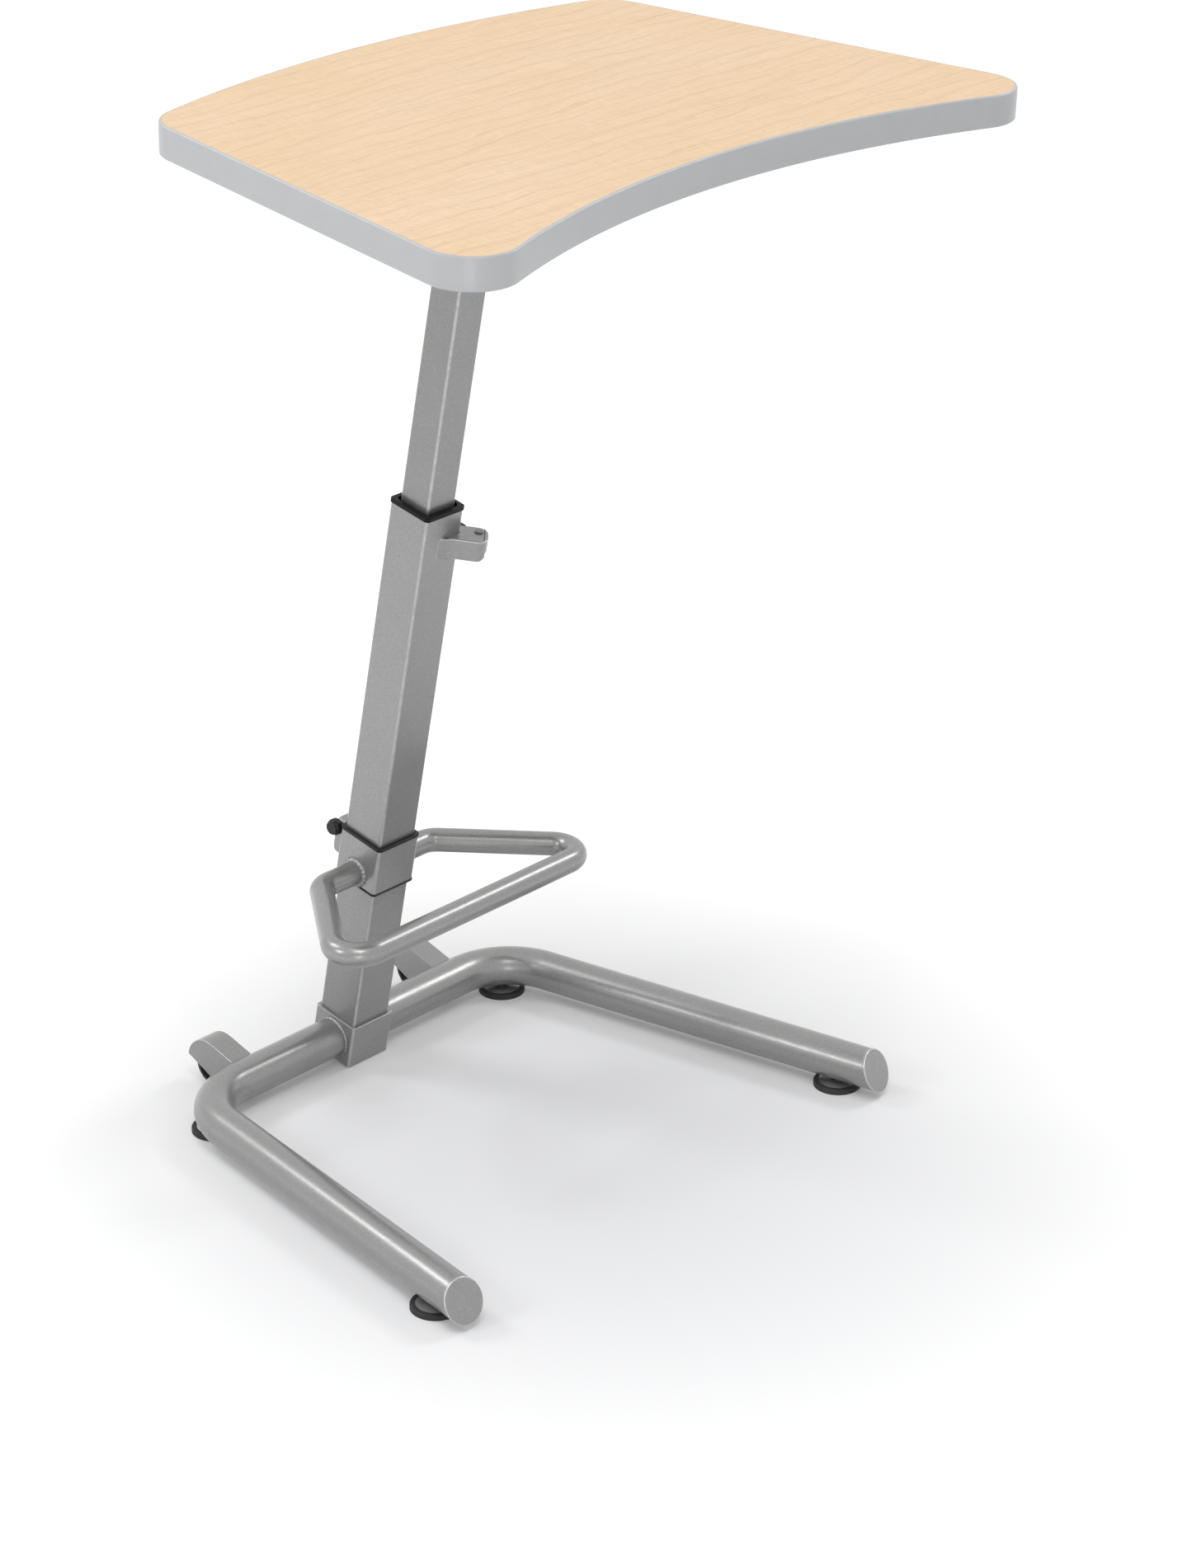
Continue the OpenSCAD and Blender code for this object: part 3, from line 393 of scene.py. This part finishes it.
def flake_effect():
    """Metal flakes under clear powder: bright and dark specks, slow mottling, orange peel."""
    tree, start, end = new_effect(
        "Metal flake",
        [("Vector", "Vector", None), ("Colour", "Color", (0.4, 0.4, 0.4, 1.0)),
         ("Flakes per metre", "Float", 900.0), ("Contrast", "Float", 0.5)],
        [("Colour", "Color"), ("Roughness", "Float"), ("Height", "Float")])
    vector, base = start.outputs["Vector"], start.outputs["Colour"]
    cells = add(tree, "ShaderNodeTexVoronoi", feature="F1")
    link(tree, vector, cells.inputs["Vector"])
    link(tree, start.outputs["Flakes per metre"], cells.inputs["Scale"])
    tone = add(tree, "ShaderNodeSeparateColor")
    link(tree, cells.outputs["Color"], tone.inputs["Color"])
    bright, dark = (
        combine(tree, "MULTIPLY", ramp(tree, tone.outputs[channel], faint, 1.0, 0.0, 0.55),
                start.outputs["Contrast"])
        for channel, faint in (("Red", 0.72), ("Green", 0.70)))
    mottle = ramp(tree, noise(tree, vector, 22.0, 4.0), 0.3, 0.7, 0.0, 0.08)
    shade = blend(tree, 1.0, base, (0.62, 0.62, 0.63), "MULTIPLY")
    tint = blend(tree, 1.0, base, (0.16, 0.16, 0.16), "ADD")
    colour = blend(tree, dark, base, shade)
    colour = blend(tree, bright, colour, tint)
    colour = blend(tree, mottle, colour, shade)
    link(tree, colour, end.inputs["Colour"])
    gloss = ramp(tree, noise(tree, vector, 60.0, 3.0), 0.25, 0.75, 0.28, 0.35)
    link(tree, gloss, end.inputs["Roughness"])
    peel = noise(tree, vector, 420.0, 2.0, 0.4)
    link(tree, peel, end.inputs["Height"])
    return tree


def corner_highlight_effect():
    """A mask along the four corners of the leaning column, where a lighter paint is laid as a
    painted highlight.
    """
    tree, start, end = new_effect(
        "Column corner highlights",
        [("Vector", "Vector", None), ("Half", "Float", 0.025)],
        [("Mask", "Float")])
    upright = add(tree, "ShaderNodeMapping")
    upright.inputs["Rotation"].default_value = (-LEAN, 0.0, 0.0)
    upright.inputs["Location"].default_value = (0.0, -COLUMN_FOOT * math.cos(LEAN), 0.0)
    link(tree, start.outputs["Vector"], upright.inputs["Vector"])
    out = add(tree, "ShaderNodeVectorMath", operation="ABSOLUTE")
    link(tree, upright.outputs["Vector"], out.inputs[0])
    parts = add(tree, "ShaderNodeSeparateXYZ")
    link(tree, out.outputs["Vector"], parts.inputs["Vector"])
    near = [
        ramp(tree, combine(tree, "SUBTRACT", start.outputs["Half"], parts.outputs[axis]),
             *CORNER_HIGHLIGHT_FADE, 1.0, 0.0)
        for axis in "XY"]
    patchy = ramp(tree, noise(tree, start.outputs["Vector"], 160.0, 4.0), 0.3, 0.6, 0.55, 1.0)
    mask = combine(tree, "MULTIPLY", combine(tree, "MULTIPLY", *near), patchy)
    link(tree, mask, end.inputs["Mask"])
    return tree


def moulded_effect():
    """Fine spark-eroded grain of a moulding, with rubbed and dusty patches."""
    tree, start, end = new_effect(
        "Moulded grain",
        [("Vector", "Vector", None), ("Colour", "Color", (0.02, 0.02, 0.02, 1.0)),
         ("Worn", "Color", (0.06, 0.06, 0.06, 1.0)), ("Grain per metre", "Float", 1400.0),
         ("Smooth", "Float", 0.25), ("Rough", "Float", 0.42)],
        [("Colour", "Color"), ("Roughness", "Float"), ("Height", "Float")])
    vector = start.outputs["Vector"]
    patches = ramp(tree, noise(tree, vector, 45.0, 4.0), 0.45, 0.8, 0.0, 0.6)
    colour = blend(tree, patches, start.outputs["Colour"], start.outputs["Worn"])
    link(tree, colour, end.inputs["Colour"])
    gloss = add(tree, "ShaderNodeMapRange", clamp=True)
    link(tree, noise(tree, vector, 120.0, 3.0), gloss.inputs["Value"])
    link(tree, start.outputs["Smooth"], gloss.inputs["To Min"])
    link(tree, start.outputs["Rough"], gloss.inputs["To Max"])
    link(tree, gloss.outputs["Result"], end.inputs["Roughness"])
    grain = add(tree, "ShaderNodeTexNoise")
    link(tree, vector, grain.inputs["Vector"])
    link(tree, start.outputs["Grain per metre"], grain.inputs["Scale"])
    link(tree, grain.outputs["Fac"], end.inputs["Height"])
    return tree


def figure(tree, vector, stretch, detail, rough, faint, full, strength=1.0):
    """A mask of noise stretched along the axes, from nothing at faint to its strength at full."""
    return ramp(tree, noise(tree, vector, 1.0, detail, rough, stretch), faint, full, 0.0, strength)


def maple_effect():
    """Pale maple: warm drift, streaks, hair lines, cross figure, growth lines and pores."""
    tree, start, end = new_effect(
        "Maple figure",
        [("Vector", "Vector", None), ("Light", "Color", (0.9, 0.7, 0.47, 1.0)),
         ("Dark", "Color", (0.74, 0.51, 0.3, 1.0)), ("Warm", "Color", (0.88, 0.65, 0.4, 1.0))],
        [("Colour", "Color"), ("Roughness", "Float"), ("Height", "Float")])
    vector = start.outputs["Vector"]
    light, dark, warm = (start.outputs[label] for label in ("Light", "Dark", "Warm"))
    sway = add(tree, "ShaderNodeCombineXYZ")
    swing = noise(tree, vector, 1.0, 3.0, 0.5, (14.0, 30.0, 14.0))
    link(tree, ramp(tree, swing, 0.3, 0.7, -0.005, 0.005), sway.inputs["Y"])
    wavy = add(tree, "ShaderNodeVectorMath", operation="ADD")
    link(tree, vector, wavy.inputs[0])
    link(tree, sway.outputs["Vector"], wavy.inputs[1])
    vector = wavy.outputs["Vector"]
    drift = figure(tree, vector, (4.0, 8.0, 4.0), 3.0, 0.5, 0.36, 0.64)
    streaks = figure(tree, vector, (3.0, 65.0, 3.0), 4.0, 0.6, 0.48, 0.74, 0.11)
    hairs = figure(tree, vector, (20.0, 760.0, 20.0), 2.0, 0.7, 0.44, 0.66, 0.30)
    cross = figure(tree, vector, (900.0, 60.0, 60.0), 2.0, 0.6, 0.44, 0.66, 0.25)
    pores = figure(tree, vector, (110.0, 1100.0, 110.0), 2.0, 0.5, 0.62, 0.72, 0.30)
    turned = add(tree, "ShaderNodeMapping")
    turned.inputs["Scale"].default_value = (1.0, 5.5, 1.0)
    turned.inputs["Rotation"].default_value = (0.0, 0.0, 0.04)
    link(tree, vector, turned.inputs["Vector"])
    rings = add(tree, "ShaderNodeTexWave", wave_type="BANDS", bands_direction="Y")
    for key, value in (("Scale", 2.6), ("Distortion", 9.0), ("Detail", 2.0), ("Detail Scale", 0.7)):
        rings.inputs[key].default_value = value
    link(tree, turned.outputs["Vector"], rings.inputs["Vector"])
    lines = ramp(tree, rings.outputs["Fac"], 0.86, 1.0, 0.0, 0.22)
    colour = blend(tree, drift, light, warm)
    for mask in (streaks, hairs, cross, lines, pores):
        colour = blend(tree, mask, colour, dark)
    link(tree, colour, end.inputs["Colour"])
    gloss = ramp(tree, noise(tree, vector, 35.0, 3.0), 0.3, 0.7, 0.50, 0.60)
    link(tree, gloss, end.inputs["Roughness"])
    relief = noise(tree, vector, 1.0, 2.0, 0.5, (500.0, 1200.0, 500.0))
    link(tree, relief, end.inputs["Height"])
    return tree


def finish_of(name, effect, values, relief, corner=0.0, **shader):
    """A material from an effect group, with the strength and depth of its relief.

    A corner gives the half width of a square piece whose corners carry a painted highlight.
    """
    look = bpy.data.materials.new(name)
    look.use_nodes = True
    tree = look.node_tree
    principled = next(n for n in tree.nodes if n.type == "BSDF_PRINCIPLED")
    for key, value in shader.items():
        principled.inputs[key.replace("_", " ")].default_value = value
    where = add(tree, "ShaderNodeTexCoord")
    group = add(tree, "ShaderNodeGroup", node_tree=effect)
    link(tree, where.outputs["Object"], group.inputs["Vector"])
    for key, value in values.items():
        group.inputs[key].default_value = value
    colour = group.outputs["Colour"]
    if corner:
        corners = bpy.data.node_groups.get("Column corner highlights") or corner_highlight_effect()
        corner_highlight = add(tree, "ShaderNodeGroup", node_tree=corners)
        link(tree, where.outputs["Object"], corner_highlight.inputs["Vector"])
        corner_highlight.inputs["Half"].default_value = corner
        # A painted highlight along the corners
        colour = blend(tree, corner_highlight.outputs["Mask"], colour, PAINTED_CORNER_HIGHLIGHT)
    link(tree, colour, principled.inputs["Base Color"])
    link(tree, group.outputs["Roughness"], principled.inputs["Roughness"])
    bump = add(tree, "ShaderNodeBump", Strength=relief[0], Distance=relief[1])
    link(tree, group.outputs["Height"], bump.inputs["Height"])
    link(tree, bump.outputs["Normal"], principled.inputs["Normal"])
    return look


def solid(colour):
    return (*colour, 1.0)


def coat(name, effect, colour, corner=0.0):
    """Metal flakes under powder, in one colour, with a painted highlight along the corners when a
    corner half width is given.
    """
    values = {"Colour": solid(colour), "Flakes per metre": 1.0 / sizes().flake}
    return finish_of(name, effect, values, COAT_RELIEF, corner, **COAT)


def finish(name):
    """One of the desk's finishes, made when it is first asked for."""
    if name in bpy.data.materials:
        return bpy.data.materials[name]
    tones = colours()
    groups = bpy.data.node_groups
    flake = groups.get("Metal flake") or flake_effect()
    moulded = groups.get("Moulded grain") or moulded_effect()
    maple = groups.get("Maple figure") or maple_effect()
    makers = {
        "silver_powder_coat": lambda: coat(name, flake, tones.paint),
        # Lit and shaded copies of the paint, one per square piece, with a painted highlight along
        # the corners
        **{"painted_light_coat_of_" + node: lambda node=node: coat(
            name, flake, [c * SQUARE_PAINTED_LIGHT[node] for c in tones.paint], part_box(node)[1].x)
           for node in SQUARE_PAINTED_LIGHT},
        "painted_edge_highlight": lambda: coat(name, flake, PAINTED_EDGE_HIGHLIGHT),
        "weld_bead": lambda: finish_of(
            name, flake,
            {"Colour": solid(tones.paint), "Flakes per metre": 700.0, "Contrast": 0.9},
            (0.35, 0.0006), **COAT),
        "pale_maple": lambda: finish_of(
            name, maple,
            {"Light": solid(tones.maple_light), "Dark": solid(tones.maple_dark),
             "Warm": solid(tones.maple_warm)},
            (0.06, 0.0003), Specular_IOR_Level=0.4),
        "band_plastic": lambda: finish_of(
            name, moulded,
            {"Colour": solid(tones.band), "Worn": solid(c * 0.94 for c in tones.band),
             "Grain per metre": 900.0, "Smooth": 0.30, "Rough": 0.42},
            (0.04, 0.0003), Coat_Weight=0.1, Coat_Roughness=0.25),
        "black_moulding": lambda: finish_of(
            name, moulded,
            {"Colour": solid(tones.moulding), "Worn": (0.02, 0.02, 0.021, 1.0)},
            (0.12, 0.0004), Specular_IOR_Level=0.3),
        # A darker copy of the black moulding for the column lip: painted shade
        "deep_black": lambda: finish_of(
            name, moulded,
            {"Colour": (0.004, 0.004, 0.004, 1.0), "Worn": (0.012, 0.012, 0.012, 1.0)},
            (0.12, 0.0004), Specular_IOR_Level=0.15),
        "tyre_rubber": lambda: finish_of(
            name, moulded,
            {"Colour": solid(tones.rubber), "Worn": (0.07, 0.068, 0.065, 1.0),
             "Grain per metre": 800.0, "Smooth": 0.55, "Rough": 0.8},
            (0.2, 0.0005)),
        "zinc_plate": lambda: finish_of(
            name, flake,
            {"Colour": (0.56, 0.56, 0.57, 1.0), "Flakes per metre": 1500.0, "Contrast": 0.3},
            (0.05, 0.0003), Metallic=0.9),
        "bright_pin": lambda: finish_of(
            name, flake,
            {"Colour": (0.20, 0.20, 0.21, 1.0), "Flakes per metre": 1500.0, "Contrast": 0.3},
            (0.05, 0.0003), Metallic=1.0),
        "chip_board": lambda: finish_of(
            name, flake,
            {"Colour": (0.42, 0.30, 0.18, 1.0), "Flakes per metre": 420.0, "Contrast": 1.0},
            (0.3, 0.0006)),
        "backing_paper": lambda: finish_of(
            name, moulded,
            {"Colour": (0.10, 0.075, 0.055, 1.0), "Worn": (0.14, 0.11, 0.085, 1.0),
             "Grain per metre": 500.0, "Smooth": 0.5, "Rough": 0.65},
            (0.1, 0.0004)),
    }
    return makers[name]()


def dress(nodes, name):
    """Give solids that keep their shape a finish."""
    for node in nodes:
        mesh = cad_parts[node].data
        mesh.materials.clear()
        mesh.materials.append(finish(name))


# Operators


class DESK_OT_frame(bpy.types.Operator):
    """Paint the base, the columns, the foot rest and the castings"""
    bl_idname = "desk.frame_paint"
    bl_label = "Paint the frame"

    def execute(self, context):
        dress(["top_plate"], "silver_powder_coat")
        # Each column takes its lit or shaded copy of the paint, painted light and shade
        for node in COLUMNS:
            dress([node], "painted_light_coat_of_" + node)
        for row in ROUNDED:
            softened(*row)
        for node, name, body in BENT:
            tube = merged_copy(node, TUBE_POINTS_APART)
            settle(tube, name, body, finish("silver_powder_coat"))
            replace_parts(tube, node)
        return {"FINISHED"}


class DESK_OT_fittings(bpy.types.Operator):
    """Finish the bushes, levers, wheels, feet and fasteners"""
    bl_idname = "desk.fittings"
    bl_label = "Finish the fittings"

    def execute(self, context):
        dress(MOULDED, "black_moulding")
        dress(RUBBER, "tyre_rubber")
        dress(PLATED, "zinc_plate")
        dress(LATCH_PINS, "bright_pin")
        return {"FINISHED"}


class DESK_OT_top(bpy.types.Operator):
    """Finish the board, its laminate and backing, and make the band round its edge"""
    bl_idname = "desk.top"
    bl_label = "Finish the top"

    def execute(self, context):
        dress(["top_laminate"], "pale_maple")
        dress(["top_board"], "chip_board")
        dress(["backing_sheet"], "backing_paper")
        band = merged_copy("edge_band")
        settle(band, "edge_band_trim", "top", finish("band_plastic"))
        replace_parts(band, "edge_band")
        return {"FINISHED"}


def ring_bead(name, centre, radius, body, ripples, bead, rise):
    """A rippled weld bead round a tube that runs across the desk."""
    nothing_selected()
    segments = RIPPLE_STEPS * ripples
    bpy.ops.mesh.primitive_torus_add(
        major_radius=radius, minor_radius=bead, major_segments=segments,
        minor_segments=BEAD_STEPS, location=centre, rotation=(0.0, math.pi / 2, 0.0))
    ring = bpy.context.object
    bpy.ops.object.transform_apply(location=True, rotation=True, scale=True)
    bpy.ops.object.mode_set(mode="EDIT")
    bpy.ops.mesh.select_all(action="DESELECT")
    bpy.ops.object.mode_set(mode="OBJECT")
    for vertex in ring.data.vertices:
        turn = math.atan2(vertex.co.z - centre[2], vertex.co.y - centre[1]) / (2 * math.pi)
        vertex.select = round(turn * segments) % RIPPLE_STEPS == 0
    bpy.ops.object.mode_set(mode="EDIT")
    bpy.ops.transform.shrink_fatten(value=rise)
    bpy.ops.object.mode_set(mode="OBJECT")
    smooth = ring.modifiers.new("Soften", "SUBSURF")
    smooth.levels = smooth.render_levels = 1
    bpy.ops.object.modifier_apply(modifier=smooth.name)
    return settle(ring, name, body, finish("weld_bead"))


class DESK_OT_welds(bpy.types.Operator):
    """Lay the weld beads where tubes meet the socket and the collar"""
    bl_idname = "desk.welds"
    bl_label = "Lay the welds"

    def execute(self, context):
        for side, hand in ((-1, "left"), (1, "right")):
            low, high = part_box("base_leg_" + hand)
            tube = (high.z - low.z) / 2
            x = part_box("base_socket")[0].x * -side
            ring_bead("socket_weld_" + hand, (x, high.y - tube, low.z + tube), tube, "frame",
                      SOCKET_RIPPLES, sizes().bead * SOCKET_BEAD, sizes().ripple * SOCKET_RIPPLE)
            low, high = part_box("foot_loop")
            tube = (high.z - low.z) / 2
            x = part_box("foot_collar")[0].x * -side
            ring_bead("collar_weld_" + hand, (x, high.y - tube, low.z + tube), tube, "foot_rest",
                      COLLAR_RIPPLES, sizes().bead, sizes().ripple)
        return {"FINISHED"}


class DESK_OT_stage(bpy.types.Operator):
    """Set the floor, the lamps, the world and the camera"""
    bl_idname = "desk.stage"
    bl_label = "Set the studio"

    def execute(self, context):
        self.floor()
        self.lamps()
        self.world(context.scene)
        self.camera(context.scene)
        context.scene.view_settings.view_transform = "Standard"
        return {"FINISHED"}

    def seen(self, tree):
        """1 for rays from the camera, a mirror or a glass, else 0."""
        path = add(tree, "ShaderNodeLightPath")
        total = path.outputs["Is Camera Ray"]
        for label in ("Is Glossy Ray", "Is Transmission Ray"):
            total = combine(tree, "MAXIMUM", total, path.outputs[label])
        return total

    def floor(self):
        nothing_selected()
        bpy.ops.mesh.primitive_plane_add(size=FLOOR_SIZE, location=(0.0, 0.0, 0.0))
        floor = bpy.context.object
        floor.name = "studio_floor"
        paper = bpy.data.materials.new("floor_paper")
        paper.use_nodes = True
        tree = paper.node_tree
        principled = next(n for n in tree.nodes if n.type == "BSDF_PRINCIPLED")
        principled.inputs["Base Color"].default_value = FLOOR_COLOUR
        principled.inputs["Roughness"].default_value = FLOOR_ROUGHNESS
        principled.inputs["Specular IOR Level"].default_value = 0.0
        principled.inputs["Emission Color"].default_value = GLOW_COLOUR
        where = add(tree, "ShaderNodeTexCoord")
        away = add(tree, "ShaderNodeVectorMath", operation="DISTANCE")
        away.inputs[1].default_value = GLOW_CENTRE
        link(tree, where.outputs["Object"], away.inputs[0])
        # The floor glows less near the desk, a painted shade round it, and more far off
        glow = ramp(tree, away.outputs["Value"], GLOW_START, GLOW_FULL,
                    studio().floor_glow, studio().backdrop_glow)
        glow.node.interpolation_type = "SMOOTHSTEP"
        lift = combine(tree, "MULTIPLY", self.seen(tree), glow)
        link(tree, lift, principled.inputs["Emission Strength"])
        floor.data.materials.append(paper)

    def lamps(self):
        for name, kind, place, size, power in LAMPS:
            nothing_selected()
            bpy.ops.object.light_add(type=kind, location=place)
            lamp = bpy.context.object
            lamp.name = name
            if kind == "SUN":
                lamp.data.angle = size
            else:
                lamp.data.size = size
            lamp.data.energy = power
            lamp.visible_camera = False
            lamp.rotation_mode = "QUATERNION"
            lamp.rotation_quaternion = (Vector(LAMP_AIM) - Vector(place)).to_track_quat("-Z", "Y")

    def world(self, scene):
        sky = bpy.data.worlds.new("studio_sky")
        sky.use_nodes = True
        tree = sky.node_tree
        background = next(n for n in tree.nodes if n.type == "BACKGROUND")
        background.inputs["Color"].default_value = (1.0, 1.0, 1.0, 1.0)
        strength = ramp(tree, self.seen(tree), 0.0, 1.0, studio().ambient, 1.0)
        link(tree, strength, background.inputs["Strength"])
        scene.world = sky

    def camera(self, scene):
        view = studio()
        nothing_selected()
        bpy.ops.object.camera_add(location=view.place)
        camera = bpy.context.object
        camera.name = "photo_camera"
        camera.data.sensor_fit = "VERTICAL"
        camera.data.sensor_height = SENSOR
        camera.data.sensor_width = SENSOR
        camera.data.lens = view.focal * SENSOR / IMAGE_SIZE[1]
        ahead = Vector((
            math.sin(view.heading) * math.cos(view.pitch),
            math.cos(view.heading) * math.cos(view.pitch),
            -math.sin(view.pitch)))
        right = Vector((math.cos(view.heading), -math.sin(view.heading), 0.0))
        up = right.cross(ahead)
        across = math.cos(view.roll) * right + math.sin(view.roll) * up
        rise = math.cos(view.roll) * up - math.sin(view.roll) * right
        axes = Matrix((across, rise, -ahead)).transposed()
        camera.matrix_world = Matrix.Translation(Vector(view.place)) @ axes.to_4x4()
        camera.data.clip_start, camera.data.clip_end = CLIP
        scene.camera = camera


class DESK_PT_panel(bpy.types.Panel):
    """Sizes, colours and steps of the work table"""
    bl_idname = "DESK_PT_panel"
    bl_label = "Work table"
    bl_space_type = "VIEW_3D"
    bl_region_type = "UI"
    bl_category = "Work table"

    def draw(self, context):
        scene = context.scene
        for group in (scene.desk_sizes, scene.desk_colours, scene.desk_studio):
            box = self.layout.box()
            for key in group.__annotations__:
                box.prop(group, key)
        for step in STEPS:
            self.layout.operator(step.bl_idname)


GROUPS = {"desk_sizes": DeskSizes, "desk_colours": DeskColours, "desk_studio": DeskStudio}
STEPS = (DESK_OT_frame, DESK_OT_fittings, DESK_OT_top, DESK_OT_welds, DESK_OT_stage)


def register():
    for kind in (*GROUPS.values(), *STEPS, DESK_PT_panel):
        bpy.utils.register_class(kind)
    for name, kind in GROUPS.items():
        setattr(bpy.types.Scene, name, bpy.props.PointerProperty(type=kind))


def unregister():
    for name in GROUPS:
        delattr(bpy.types.Scene, name)
    for kind in reversed((*GROUPS.values(), *STEPS, DESK_PT_panel)):
        bpy.utils.unregister_class(kind)


def main():
    register()
    bpy.ops.desk.frame_paint()
    bpy.ops.desk.fittings()
    bpy.ops.desk.top()
    bpy.ops.desk.welds()
    bpy.ops.desk.stage()
    nothing_selected()


if __name__ == "__main__":
    main()
